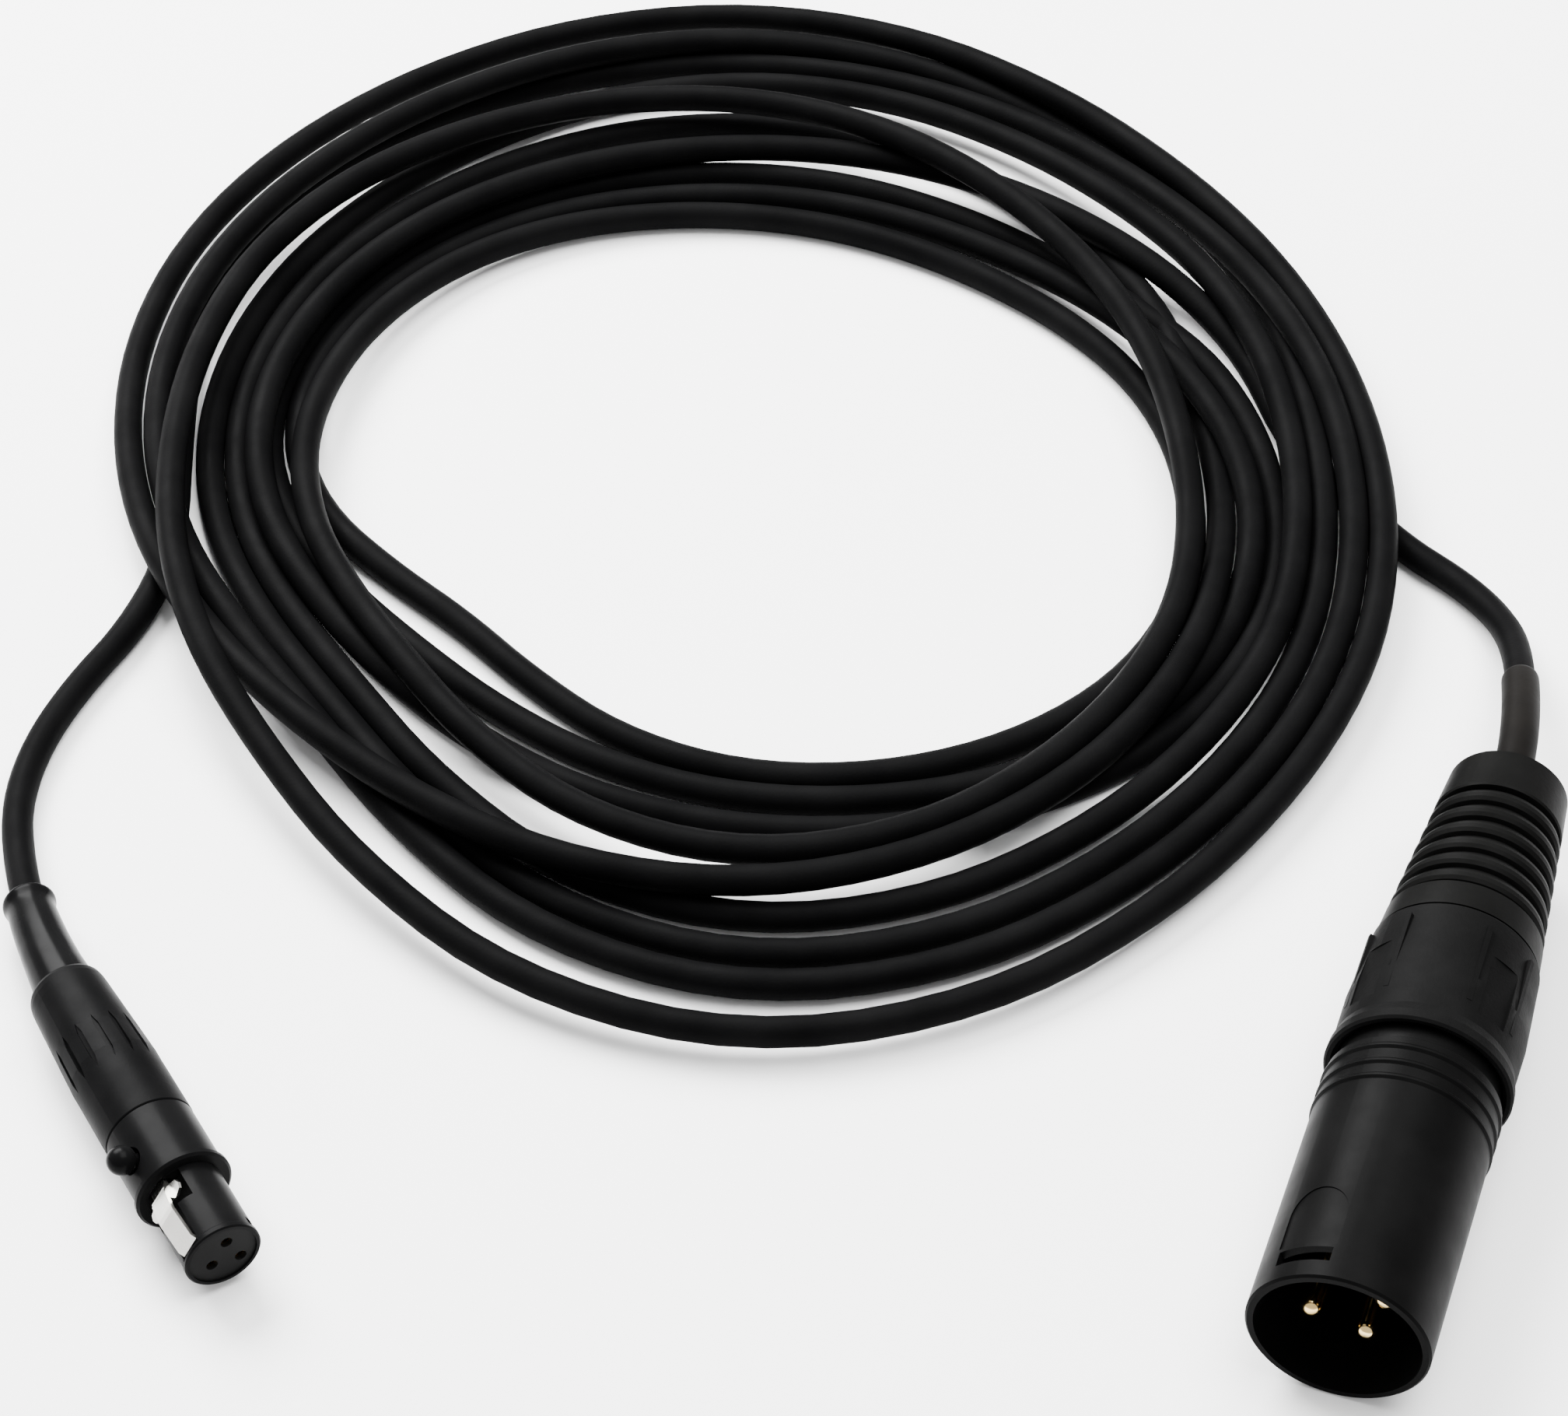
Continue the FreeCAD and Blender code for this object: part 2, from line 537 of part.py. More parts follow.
def mini_latch():
    """Sheet-metal lever: hooked nose in front, arched blade, two ears, and a knuckle round its pivot pin behind."""
    body = new_body("Latch")
    sketch = new_sketch(body, "XZ_Plane")
    draw_outline(sketch, [
        ("latch_front", "tooth_foot"), ("latch_front", "tooth_top - 0.45"), ("latch_front + 0.5", "tooth_top"),
        ("latch_crest - 0.3", "latch_crest_top"), ("latch_crest + 0.3", "latch_crest_top - 0.02"),
        ("latch_step", "latch_crest_top - 0.35"), ("latch_step + 1", "latch_low + latch_sheet"),
        ("pivot_at", "latch_low + latch_sheet"), ("pivot_at", "latch_low"), ("latch_step + 0.8", "latch_low"),
        ("latch_step - 0.2", "latch_crest_top - 0.7"), ("latch_crest", "latch_crest_top - 0.4"),
        ("latch_front + 0.7", "tooth_top - 0.4"), ("latch_front + 0.4", "tooth_foot"),
    ])
    blade = body.newObject("PartDesign::Pad", "LatchBlade")
    blade.Profile = sketch
    blade.setExpression("Length", "2 * Dims.latch_half")
    blade.Midplane = True
    ears = new_sketch(body, "XY_Plane", "ear_low")
    draw_outline(ears, [
        ("ear_at - ear_half", "0 - 1.6"), ("ear_at - 0.6", "0.2 - ear_reach"), ("ear_at", "0 - ear_reach"),
        ("ear_at + 0.6", "0.2 - ear_reach"), ("ear_at + ear_half", "0 - 1.6"), ("ear_at + ear_half", "1.6"),
        ("ear_at + 0.6", "ear_reach - 0.2"), ("ear_at", "ear_reach"), ("ear_at - 0.6", "ear_reach - 0.2"),
        ("ear_at - ear_half", "1.6"),
    ])
    plate = body.newObject("PartDesign::Pad", "LatchEars")
    plate.Profile = ears
    plate.setExpression("Length", "Dims.latch_sheet")
    web_sketch = new_sketch(body, "XY_Plane", "ear_low")
    draw_outline(web_sketch, rectangle("ear_at - 0.8", "ear_at + 0.8", "0 - latch_half", "latch_half"))
    web = body.newObject("PartDesign::Pad", "LatchWeb")
    web.Profile = web_sketch
    web.setExpression("Length", "Dims.latch_crest_top - 0.5 - Dims.ear_low")
    knuckle = new_sketch(body, "XZ_Plane")
    draw_circle(knuckle, "pivot_at", "pivot_z", "knuckle_radius")
    roll = body.newObject("PartDesign::Pad", "LatchKnuckle")
    roll.Profile = knuckle
    roll.setExpression("Length", "2 * Dims.latch_half")
    roll.Midplane = True
    bore = new_sketch(body, "XZ_Plane")
    draw_circle(bore, "pivot_at", "pivot_z", "knuckle_bore")
    hole = body.newObject("PartDesign::Pocket", "LatchBore")
    hole.Profile = bore
    hole.Length = 10
    hole.Midplane = True
    doc.recompute()
    finish(body, "mini_latch", "mini")


def mini_pivot_pin():
    """Cross pin that the latch tilts on; its ends sit in the neck's wall."""
    pin = doc.addObject("Part::Cylinder", "PivotPin")
    pin.setExpression("Radius", "Dims.pivot_pin_radius")
    reach = math.sqrt(DIMS["neck_bore"] ** 2 - (DIMS["pivot_z"] + DIMS["pivot_pin_radius"]) ** 2)
    pin.Height = 2 * reach
    middle = FreeCAD.Vector(DIMS["pivot_at"], reach, DIMS["pivot_z"])
    pin.Placement = FreeCAD.Placement(middle, FreeCAD.Rotation(ALONG, 90))
    doc.recompute()
    finish(pin, "mini_pivot_pin", "mini")


def mini_button():
    """Ball-topped release button; its stem stands on the latch."""
    ball = doc.addObject("Part::Sphere", "ButtonBall")
    ball.setExpression("Radius", "Dims.button_radius")
    ball.setExpression("Placement.Base.x", "Dims.button_at")
    ball.setExpression("Placement.Base.z", "Dims.button_z")
    stem = doc.addObject("Part::Cylinder", "ButtonStem")
    stem.setExpression("Radius", "Dims.button_stem")
    stem.setExpression("Height", "Dims.button_z - Dims.button_foot")
    stem.setExpression("Placement.Base.x", "Dims.button_at")
    stem.setExpression("Placement.Base.z", "Dims.button_foot")
    button = doc.addObject("Part::Fuse", "Button")
    button.Base = ball
    button.Tool = stem
    doc.recompute()
    finish(button, "mini_button", "mini")


def mini_latch_spring():
    """Leaf spring on the neck's floor side that lifts the latch near its pivot."""
    body = new_body("LatchSpring")
    sketch = new_sketch(body, "XZ_Plane")
    draw_outline(sketch, [
        ("pivot_at - 5.6", "1.2"), ("pivot_at - 1.8", "1.2"), ("pivot_at - 1.5", "1.45"), ("pivot_at - 1.9", "1.7"),
        ("pivot_at - 5.2", "latch_low - 0.45"), ("pivot_at - 5.9", "latch_low - 0.35"),
        ("pivot_at - 5.9", "latch_low - 0.5"), ("pivot_at - 5.25", "latch_low - 0.6"),
        ("pivot_at - 2.3", "1.62"), ("pivot_at - 2.0", "1.35"), ("pivot_at - 5.6", "1.35"),
    ])
    leaf = body.newObject("PartDesign::Pad", "SpringLeaf")
    leaf.Profile = sketch
    leaf.Length = 1.6
    leaf.Midplane = True
    doc.recompute()
    finish(body, "mini_latch_spring", "mini")


def mini_cable_clamp():
    """Crimp collar behind the neck that holds the cable jacket."""
    body = new_body("CableClamp")
    revolve(body, [
        ("neck_rear", "cable_radius"), ("neck_rear", "clamp_disc"), ("clamp_disc_rear", "clamp_disc"),
        ("clamp_disc_rear", "clamp_radius"), ("clamp_rear", "clamp_radius"), ("clamp_rear", "cable_radius"),
    ])
    finish(body, "mini_cable_clamp", "mini")


def mini_liner():
    """Insulating tube inside the backshell."""
    body = new_body("Liner")
    revolve(body, [
        ("liner_front", "liner_bore"), ("liner_front", "liner_radius"),
        ("liner_rear", "liner_radius"), ("liner_rear", "liner_bore"),
    ])
    finish(body, "mini_liner", "mini")


def mini_backshell():
    """Tapered screw-on cover with a ring of slim grip grooves, pointed at both ends."""
    body = new_body("Backshell")
    revolve(body, [
        ("backshell_front", "backshell_thread"), ("backshell_front", "backshell_radius - 0.12"),
        ("backshell_front + 0.12", "backshell_radius"), ("backshell_taper_at - 2", "backshell_radius - 0.03"),
        ("backshell_rear - 2.2", "backshell_rear_radius + 0.07"), ("backshell_rear - 1.1", "backshell_rear_radius"),
        ("backshell_rear - 0.4", "backshell_rear_radius - 0.12"), ("backshell_rear", "backshell_rear_radius - 0.32"),
        ("backshell_rear", "backshell_lip"), ("liner_rear + 1.2", "backshell_lip"),
        ("liner_rear + 0.3", "backshell_bore"), ("backshell_thread_end", "backshell_bore"),
        ("backshell_thread_end", "backshell_thread"),
    ])
    groove = pocket_up(body, "groove_floor", [
        ("groove_front", "0"), ("groove_front + 1.5", "0 - groove_half"), ("groove_rear - 1.5", "0 - groove_half"),
        ("groove_rear", "0"), ("groove_rear - 1.5", "groove_half"), ("groove_front + 1.5", "groove_half"),
    ])
    repeat_round(body, groove, int(DIMS["groove_count"]))
    body.Placement.Rotation = FreeCAD.Rotation(ALONG, 5)
    finish(body, "mini_backshell", "mini")


# ---------------------------------------------------------------- cable
def plug_point(plug, along, angle=0.0, radius=0.0):
    """A place in the part's frame, given along and across a plug."""
    return PLACES[plug].multVec(FreeCAD.Vector(along, 0, 0) + on_circle(radius, angle))


def route_path(points, last_share=1.0):
    """A wire of straight runs joined by arcs that each take 0.45 of the shorter run beside them.

    It stops after last_share of the last run.
    """
    edges = []
    radii = []
    last = points[0]
    for before, corner, after in zip(points, points[1:], points[2:]):
        into = (before - corner).normalize()
        out = (after - corner).normalize()
        half_turn = (math.pi - into.getAngle(out)) / 2
        reach = 0.45 * min((before - corner).Length, (after - corner).Length)
        radius = reach / math.tan(half_turn)
        radii.append(radius)
        start = corner + into * reach
        end = corner + out * reach
        bisector = (into + out).normalize()
        centre = corner + bisector * (radius / math.cos(half_turn))
        middle = centre - bisector * radius
        edges.append(Part.LineSegment(last, start).toShape())
        edges.append(Part.Arc(start, middle, end).toShape())
        last = end
    stop = points[-2] + (points[-1] - points[-2]) * last_share
    edges.append(Part.LineSegment(last, stop).toShape())
    return Part.Wire(edges), radii


def tube_along(points, radius, bore=0.0, last_share=1.0):
    """A round tube or rod along a route, with the radii of its bends and its length."""
    path, radii = route_path(points, last_share)
    heading = points[1] - points[0]

    def swept(size):
        ring = Part.Wire([Part.Circle(points[0], heading, size).toShape()])
        return path.makePipeShell([ring], True, True)

    solid = swept(radius)
    if bore:
        solid = solid.cut(swept(bore))
    expected = math.pi * (radius ** 2 - bore ** 2) * path.Length
    if abs(solid.Volume / expected - 1) > 0.01:
        raise RuntimeError("a tube's volume is %.3f of its section times its length" % (solid.Volume / expected))
    return solid, radii, path.Length


def add_shape(label, shape):
    """A sub-part whose shape is set directly."""
    feature = doc.addObject("Part::Feature", label)
    feature.Shape = shape
    feature.Placement = FreeCAD.Placement()
    return finish(feature, label)


def vectors(rows):
    return [FreeCAD.Vector(*row) for row in rows]


# The cable's way from the small plug to the coil, then from the coil to the large plug.
MINI_TAIL = [
    (-73.09, -83.05, 5.42), (-78.91, -73.10, 5.42), (-84.25, -61.70, 4.55), (-87.65, -51.20, 2.70),
    (-89.75, -40.70, 1.95), (-88.75, -30.20, 1.90), (-85.15, -19.70, 1.90), (-80.15, -9.90, 1.90),
    (-74.15, -0.50, 1.90),
]
PIN_PLUG_TAIL = [
    (70.95, 12.50, 1.90), (79.05, 5.60, 1.90), (85.45, -1.30, 2.00), (89.05, -9.10, 3.20),
    (89.65, -17.70, 5.60), (87.35, -32.30, 9.80), (84.43, -44.40, 11.14), (80.25, -55.70, 10.91),
]


def cable_tails():
    """The two free ends of the cable, and the short lengths of jacket gripped inside the plugs."""
    for label, route in (("cable_mini_tail", MINI_TAIL), ("cable_pin_plug_tail", PIN_PLUG_TAIL)):
        solid, radii, length = tube_along(vectors(route), DIMS["cable_radius"])
        print("%s: length %.1f mm, bend radii %s" % (label, length, ", ".join("%.0f" % radius for radius in radii)))
        add_shape(label, solid)


def jacket_end(plug, label, front, rear, radius):
    """The length of jacket held inside a plug, with its sleeve if it has one, up to where the free cable starts."""
    jacket = doc.addObject("Part::Cylinder", label)
    jacket.setExpression("Radius", "Dims." + radius)
    heading = rear - plug_point(plug, front)
    jacket.Height = heading.Length
    jacket.Placement = FreeCAD.Placement(plug_point(plug, front), FreeCAD.Rotation(UP, heading))
    doc.recompute()
    finish(jacket, label)


def sleeve():
    """Shrink sleeve over the cable where it leaves the large plug's boot; it ends half-way along a run."""
    route = vectors(PIN_PLUG_TAIL[:-5:-1])
    add_shape("pin_plug_sleeve", tube_along(route, DIMS["sleeve_radius"], DIMS["cable_radius"], 0.5)[0])


def wires(plug, label, cups, front, rear):
    """Insulated cores from the solder cups, given as (number, angle, place across the plug), into the cable."""
    for number, angle, cup in cups:
        start = PLACES[plug].multVec(FreeCAD.Vector(front, cup.y, cup.z))
        end = plug_point(plug, rear, angle, DIMS["wire_spread"])
        add_shape(label + number, Part.makeCylinder(DIMS["wire_radius"], (end - start).Length, start, end - start))


# The flex relief's outside: distance along the cable's way from the small plug, and radius there.
RELIEF_SHAPE = [(9.9, 3.62), (12.7, 3.42), (15.6, 3.2), (19.6, 3.0), (23.6, 2.85), (26.8, 2.75)]


def relief():
    """Flexible sleeve that guides the cable out of the small plug in a gentle curve and ends in a thick lip."""
    route = vectors(MINI_TAIL[:4])
    path = route_path(route)[0]
    rings = []
    for distance, radius in RELIEF_SHAPE:
        place, heading = point_on_path(path, distance)
        rings.append(Part.Wire([Part.Circle(place, heading, radius).toShape()]))
    body = Part.makeLoft(rings, True, False)
    flange_front = plug_point("mini", DIMS["relief_front"])
    flange_rear = plug_point("mini", DIMS["relief_flange_rear"])
    neck_end = point_on_path(path, RELIEF_SHAPE[0][0])[0]
    along = flange_rear - flange_front
    flange = Part.makeCylinder(DIMS["relief_flange"], along.Length, flange_front, along)
    neck = Part.makeCylinder(DIMS["relief_neck"], (neck_end - flange_front).Length, flange_front, along)
    lip_start, heading = point_on_path(path, RELIEF_SHAPE[-1][0])
    lip = Part.makeCylinder(DIMS["relief_lip"], DIMS["relief_lip_length"], lip_start, heading)
    bore = tube_along(route, DIMS["cable_radius"])[0]
    solid = body.fuse([flange, neck, lip]).cut(bore).removeSplitter()
    add_shape("mini_flex_relief", solid)


def point_on_path(path, distance):
    """The point and heading at a distance along a wire."""
    for edge in path.OrderedEdges:
        if distance <= edge.Length:
            place = edge.getParameterByLength(distance)
            heading = edge.tangentAt(place)
            if edge.Orientation == "Reversed":
                place = edge.getParameterByLength(edge.Length - distance)
                heading = edge.tangentAt(place) * -1
            return edge.valueAt(place), heading
        distance -= edge.Length
    raise ValueError("past the end of the path")


# Inner and outer reach of the turns from the coil's middle, and their height, every 30 degrees from +X.
COIL_INNER = [54.0, 51.0, 50.3, 52.0, 55.0, 55.4, 53.5, 45.0, 45.8, 53.3, 58.0, 58.0]
COIL_OUTER = [83.5, 86.0, 96.0, 104.8, 103.2, 93.5, 83.5, 80.0, 92.0, 101.2, 97.0, 89.0]
COIL_HEIGHT = [9.4, 9.8, 9.9, 9.6, 8.6, 9.6, 10.7, 10.8, 9.0, 10.4, 10.8, 10.0]


def coil():
    """Closed solid of the coil's outer shape: a low ring whose inner and outer reach follow the loose turns."""
    count = len(COIL_INNER)
    corners = []
    for index in range(count):
        angle = 2 * math.pi * index / count
        inner, outer, top = COIL_INNER[index], COIL_OUTER[index], COIL_HEIGHT[index]
        shoulder = DIMS["coil_shoulder"]
        ring = [(inner, 0.0), (outer, 0.0), (outer, shoulder), (outer - 9.0, top), (inner + 5.0, top),
                (inner, shoulder)]
        corners.append([FreeCAD.Vector(DIMS["coil_x"] + reach * math.cos(angle),
                                       DIMS["coil_y"] + reach * math.sin(angle), height) for reach, height in ring])
    faces = []
    for index in range(count):
        here, following = corners[index], corners[(index + 1) % count]
        for side in range(len(here)):
            other = (side + 1) % len(here)
            quad = [here[side], here[other], following[other], following[side]]
            for triangle in (quad[:3], [quad[0], quad[2], quad[3]]):
                faces.append(Part.Face(Part.makePolygon(triangle + triangle[:1])))
    solid = Part.Solid(Part.Shell(faces))
    if solid.Volume < 0:
        solid.reverse()
    add_shape("cable_coil", solid)


pin_plug_shell()
pin_plug_insert()
pin_plug_contacts()
pin_plug_ground_spring()
pin_plug_chuck()
pin_plug_bushing()
pin_plug_boot()
mini_nose()
mini_barrel()
mini_insert()
mini_contacts()
mini_latch()
mini_pivot_pin()
mini_button()
mini_latch_spring()
mini_cable_clamp()
mini_liner()
mini_backshell()
cable_tails()
coil()
jacket_end("pin_plug", "pin_plug_jacket_end", 42.0, FreeCAD.Vector(*PIN_PLUG_TAIL[-1]), "sleeve_radius")
jacket_end("mini", "mini_jacket_end", 25.5, FreeCAD.Vector(*MINI_TAIL[0]), "cable_radius")
sleeve()
relief()
pin_cups = [(number, angle, on_circle(DIMS["pin_circle"], angle)) for number, angle in contact_places()]
socket_cups = [(number, angle, socket_place(angle)) for number, angle in socket_places()]
wires("pin_plug", "pin_plug_wire_", pin_cups, DIMS["pin_rear"] + 0.1, 41.9)
wires("mini", "mini_wire_", socket_cups, DIMS["socket_rear"] + 0.1, 25.4)

doc.recompute()
for feature in doc.Objects:
    if "Invalid" in feature.State or "Error" in feature.State:
        raise RuntimeError("%s failed: %s" % (feature.Label, feature.State))
os.makedirs("parts", exist_ok=True)
for feature in finished:
    shape = feature.Shape
    if shape.isNull() or not shape.isValid():
        raise RuntimeError("%s has no valid shape" % feature.Label)
    shape.exportStep("parts/%s.step" % feature.Label)
    print("%-26s %9.2f mm3  %d solid(s)" % (feature.Label, shape.Volume, len(shape.Solids)))
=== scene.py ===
import math

import bpy
import numpy as np
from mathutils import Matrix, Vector


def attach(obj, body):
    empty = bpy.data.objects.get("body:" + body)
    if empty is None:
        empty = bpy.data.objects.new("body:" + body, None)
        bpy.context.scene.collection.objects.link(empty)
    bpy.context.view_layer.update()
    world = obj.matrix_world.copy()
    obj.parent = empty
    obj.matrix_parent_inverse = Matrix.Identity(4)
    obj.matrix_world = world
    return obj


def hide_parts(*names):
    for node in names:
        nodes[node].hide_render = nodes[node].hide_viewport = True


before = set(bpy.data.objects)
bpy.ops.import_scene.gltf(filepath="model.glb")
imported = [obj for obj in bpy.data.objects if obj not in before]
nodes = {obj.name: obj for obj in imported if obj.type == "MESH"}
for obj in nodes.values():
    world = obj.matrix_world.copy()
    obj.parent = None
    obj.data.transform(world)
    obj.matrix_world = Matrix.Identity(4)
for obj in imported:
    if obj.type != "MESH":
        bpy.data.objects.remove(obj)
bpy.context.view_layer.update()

MM = 0.001


# ------------------------------------------------------------------ camera
EYE_X, EYE_Y, EYE_HEIGHT = -1.55, -331.7, 292.74        # in mm
CAMERA_PITCH = 45.906                                   # degrees below level
SENSOR_WIDTH = 36.0
FOCAL_LENGTH = 80.35714

camera_data = bpy.data.cameras.new("camera")
camera_data.sensor_fit = "HORIZONTAL"
camera_data.sensor_width = SENSOR_WIDTH
camera_data.lens = FOCAL_LENGTH
camera_data.shift_x = 0.01126
camera_data.shift_y = 0.0986
camera_data.clip_start = 0.01
camera_data.clip_end = 20.0
camera = bpy.data.objects.new("camera", camera_data)
camera.location = (EYE_X * MM, EYE_Y * MM, EYE_HEIGHT * MM)
camera.rotation_euler = (math.radians(90 - CAMERA_PITCH), 0, 0)
bpy.context.scene.collection.objects.link(camera)
bpy.context.scene.camera = camera


# ------------------------------------------------------------------ the cable's line
CABLE_RADIUS = 1.85
LOWEST = CABLE_RADIUS + 0.05                            # the middle of a strand that lies on the floor
COIL_X, COIL_Y = -4.35, 21.7
SEEN_AT = 6.0                                           # reaches are read on this plane, from the camera
LAYER = 3.3                                             # how far one layer of strands lies above another
PER_STATION = 3                                         # control points for each 45 degrees of a turn

# How the turns settle on each other.
ROUNDS, LAST_ROUNDS = 300, 60
GAP = 3.75                                              # strands are kept this far apart, middle to middle
REACH = 26                                              # runs whose middles are further apart aren't compared
SEARCH_EVERY = 8
PUSH_GAIN = 1.2
LOOSE = (0.05, 0.05, 0.25)                              # pull towards home, drop each round, stiffness
FINAL = (0.005, 0.0, 0.1)                               # the same in the last rounds

# The two free ends, the same points as the CAD tubes follow, in mm.
MINI_TAIL = [
    (-73.09, -83.05, 5.42), (-78.91, -73.10, 5.42), (-84.25, -61.70, 4.55), (-87.65, -51.20, 2.70),
    (-89.75, -40.70, 1.95), (-88.75, -30.20, 1.90), (-85.15, -19.70, 1.90), (-80.15, -9.90, 1.90),
    (-74.15, -0.50, 1.90),
]
PIN_PLUG_TAIL = [
    (70.95, 12.50, 1.90), (79.05, 5.60, 1.90), (85.45, -1.30, 2.00), (89.05, -9.10, 3.20),
    (89.65, -17.70, 5.60), (87.35, -32.30, 9.80), (84.43, -44.40, 11.14), (80.25, -55.70, 10.91),
]

# The turns, in order along the cable: (reach from the coil's middle in mm, layer) every 45 degrees clockwise.
# Nine and a half turns: ten strands cross the far side and nine the near side.
# The first row starts on the left (180 degrees), the others on the right (0 degrees).
TURNS = (
    ((70, 0), (84.2, 0), (87.3, 0), (78.6, 1)),
    ((76.6, 0), (86.1, 0), (95.3, 0), (72, 0), (76, 0), (85.8, 1), (92.7, 1), (80.3, 0)),
    ((73.5, 1), (82, 1), (90.5, 0), (69, 1), (69, 1), (73.8, 1), (81.2, 0), (72.4, 1)),
    ((69.5, 1), (77.2, 1), (85, 0), (65.2, 0), (66.3, 0), (69, 0), (71.5, 0), (64, 0)),
    ((60.5, 0), (70, 1), (79.2, 1), (73.6, 1), (79.2, 1), (90.7, 0), (98.6, 0), (83.5, 1)),
    ((79, 1), (89.2, 1), (103, 0), (79.4, 1), (73, 2), (79, 2), (76.7, 2), (61.5, 2)),
    ((56.4, 2), (66, 2), (74.8, 3), (58.5, 2), (56.9, 1), (54.5, 1), (48.9, 1), (47.8, 0)),
    ((56, 0), (64.6, 0), (61.5, 0), (48.8, 0), (59, 0), (58, 0), (53.6, 0), (52.7, 1)),
    ((61.8, 1), (70, 0), (64.6, 1), (55.5, 0), (60.5, 0), (61.5, 0), (59.5, 0), (57.4, 0)),
    ((65.3, 0), (74.2, 1), (70.3, 1), (61.5, 1), (63.2, 1), (65, 1), (65, 1), (66.2, 0)),
    ((70.5, 0),),
)


def between(rows, index, share):
    """A smooth value on the way from one row to the next."""
    before, here = rows[max(index - 1, 0)], rows[index]
    after, later = rows[min(index + 1, len(rows) - 1)], rows[min(index + 2, len(rows) - 1)]
    bend = 2 * before - 5 * here + 4 * after - later + share * (3 * (here - after) + later - before)
    return here + 0.5 * share * (after - before + share * bend)


def laid_turns():
    """Control points of the turns as first laid out, before they settle on each other."""
    rows = np.array([station for turn in TURNS for station in turn], float)
    step = math.radians(45 / PER_STATION)
    widen = 1 / (0.75 + 0.25 * math.cos(step))          # the smooth line runs inside its control points
    points = []
    for count in range((len(rows) - 1) * PER_STATION + 1):
        index, part = divmod(count, PER_STATION)
        reach, layer = between(rows, index, part / PER_STATION)
        angle = -math.pi - step * count
        height = LOWEST + LAYER * max(layer, 0.0)
        wide = reach * widen
        points.append((COIL_X + wide * math.cos(angle), COIL_Y + wide * math.sin(angle), height))
    return np.array(points)


def looks_there(places, heights):
    """Where points must be in plan, at these heights, to look from the camera as if at places on SEEN_AT."""
    eye = np.array((EYE_X, EYE_Y))
    return eye + (places - eye) * ((EYE_HEIGHT - heights) / (EYE_HEIGHT - SEEN_AT))[:, None]


def crossing_runs(points):
    """Pairs of runs of the line whose middles are near each other."""
    middles = 0.5 * (points[:-1] + points[1:])
    apart = np.linalg.norm(middles[:, None] - middles[None], axis=2)
    place = np.arange(len(middles))
    return np.nonzero((apart < REACH) & (place[None] - place[:, None] > 2))


def settle(points, free):
    """Lets the turns push each other apart and drop, for a fixed number of rounds.

    Strands that cross at exactly the same height get no push and stay as they are, because the shortest way
    from one to the other then has no length. It happens once, on the floor at the coil's inner right side.
    """
    points = points.copy()
    places = points[:, :2].copy()
    free = free[:, None]
    for count in range(ROUNDS):
        home = points.copy()
        home[:, :2] = np.where(free, looks_there(places, points[:, 2]), places)
        if count == 0:
            points = home.copy()
        pull, drop, stiffness = FINAL if count > ROUNDS - LAST_ROUNDS else LOOSE
        if count % SEARCH_EVERY == 0:
            one, two = crossing_runs(points)
        start_one, run_one = points[one], points[one + 1] - points[one]
        start_two, run_two = points[two], points[two + 1] - points[two]
        offset = start_one - start_two
        size_one, size_two = (run_one ** 2).sum(1), (run_two ** 2).sum(1)
        cross = (run_one * run_two).sum(1)
        along_one, along_two = (run_one * offset).sum(1), (run_two * offset).sum(1)
        spread = np.maximum(size_one * size_two - cross ** 2, 1e-9)
        share_one = np.clip((cross * along_two - along_one * size_two) / spread, 0, 1)
        share_two = np.clip((cross * share_one + along_two) / size_two, 0, 1)
        share_one = np.clip((cross * share_two - along_one) / size_one, 0, 1)
        away = offset + run_one * share_one[:, None] - run_two * share_two[:, None]
        distance = np.maximum(np.linalg.norm(away, axis=1), 1e-6)
        touching = distance < GAP
        push = away * (np.where(touching, GAP - distance, 0) / distance)[:, None] * 0.5
        move = np.zeros_like(points)
        weight = np.zeros(len(points))
        ends = (
            (one, 1 - share_one, 1), (one + 1, share_one, 1),
            (two, 1 - share_two, -1), (two + 1, share_two, -1),
        )
        for place, share, way in ends:
            np.add.at(move, place, way * push * share[:, None])
            np.add.at(weight, place, share * touching)
        points += np.where(free, PUSH_GAIN * move / np.maximum(weight, 1)[:, None], 0)
        bend = 0.5 * (points[:-2] + points[2:]) - points[1:-1]
        bend[:, :2] -= (0.5 * (home[:-2] + home[2:]) - home[1:-1])[:, :2]
        points[1:-1] += np.where(free[1:-1], stiffness * bend, 0)
        points[:, :2] += np.where(free, pull * (home - points)[:, :2], 0)
        points[:, 2:] = np.where(free, np.maximum(points[:, 2:] - drop, LOWEST), points[:, 2:])
    return points


turns = laid_turns()
route = np.concatenate([MINI_TAIL, turns, PIN_PLUG_TAIL])
free = np.ones(len(route), bool)
free[:len(MINI_TAIL) - 1] = False
free[1 - len(PIN_PLUG_TAIL):] = False
route = settle(route, free) * MM

cable_data = bpy.data.curves.new("cable", "CURVE")
cable_data.dimensions = "3D"
spline = cable_data.splines.new("NURBS")
spline.points.add(len(route) - 1)
for point, place in zip(spline.points, route):
    point.co = (*place, 1.0)
spline.order_u = 3
spline.use_endpoint_u = True
cable_data.resolution_u = 5
cable = bpy.data.objects.new("cable", cable_data)
bpy.context.scene.collection.objects.link(cable)
bpy.context.view_layer.update()
line_mesh = bpy.data.meshes.new_from_object(cable)
line = np.array([vertex.co for vertex in line_mesh.vertices])
cable_length = np.linalg.norm(np.diff(line, axis=0), axis=1).sum()
cable_data.bevel_depth = CABLE_RADIUS * MM
cable_data.bevel_resolution = 5
print("cable length %.3f m, highest %.1f mm" % (cable_length, line[:, 2].max() / MM))


# ------------------------------------------------------------------ materials
def socket_link(material, output, target):
    material.node_tree.links.new(output, target)


